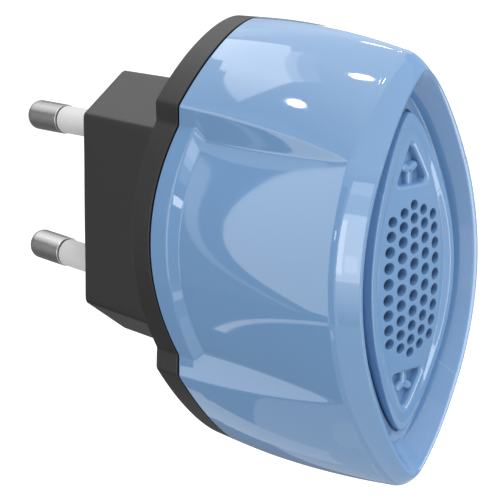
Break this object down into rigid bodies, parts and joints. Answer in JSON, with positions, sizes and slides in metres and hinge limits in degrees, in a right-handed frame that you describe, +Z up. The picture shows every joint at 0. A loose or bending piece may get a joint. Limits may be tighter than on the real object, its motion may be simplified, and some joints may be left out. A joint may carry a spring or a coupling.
{
  "type": "ultrasonic pest repeller",
  "caption": "Plug-in ultrasonic pest repeller: glossy blue lens-fronted shell with a perforated sound grille, black back cover and a flat round-pin mains plug.",
  "frame": {"origin": "centre of the plug's flat pin face, where it meets the wall socket", "axes": "+Y out along the pins into the socket, -Y towards the room through the grille, +Z up along the pointed oval, +X to the right seen from the room"},
  "size_m": [0.0256, 0.072, 0.0548],
  "materials": {
    "blue_gloss": "gloss",
    "black_satin": "satin",
    "pin_nickel": "brushed",
    "sleeve_white": "satin",
    "aluminium": "satin",
    "ceramic": "matte",
    "foam": "matte",
    "laminate": "satin",
    "cap_yellow": "gloss",
    "can_slate": "satin",
    "ferrite": "matte",
    "epoxy": "matte",
    "resistor": "satin",
    "wire_red": "satin",
    "steel": "satin"
  },
  "bodies": {
    "root": {"front_shell": "blue_gloss", "grille_plate": "blue_gloss", "back_cover": "black_satin", "plug_body": "black_satin", "pin_upper": "pin_nickel", "pin_lower": "pin_nickel", "pin_sleeve_upper": "sleeve_white", "pin_sleeve_lower": "sleeve_white", "transducer_case": "aluminium", "transducer_cone": "aluminium", "transducer_base": "epoxy", "transducer_gasket": "foam", "piezo_disc": "ceramic", "circuit_board": "laminate", "film_capacitor": "cap_yellow", "electrolytic_capacitor": "can_slate", "drive_inductor": "ferrite", "bridge_rectifier": "epoxy", "fusible_resistor": "resistor", "bleed_resistor": "resistor", "driver_chip": "epoxy", "lead_upper": "wire_red", "lead_lower": "wire_red", "case_screw_upper": "steel", "case_screw_lower": "steel", "board_screw_upper": "steel", "board_screw_lower": "steel"}
  },
  "joints": []
}
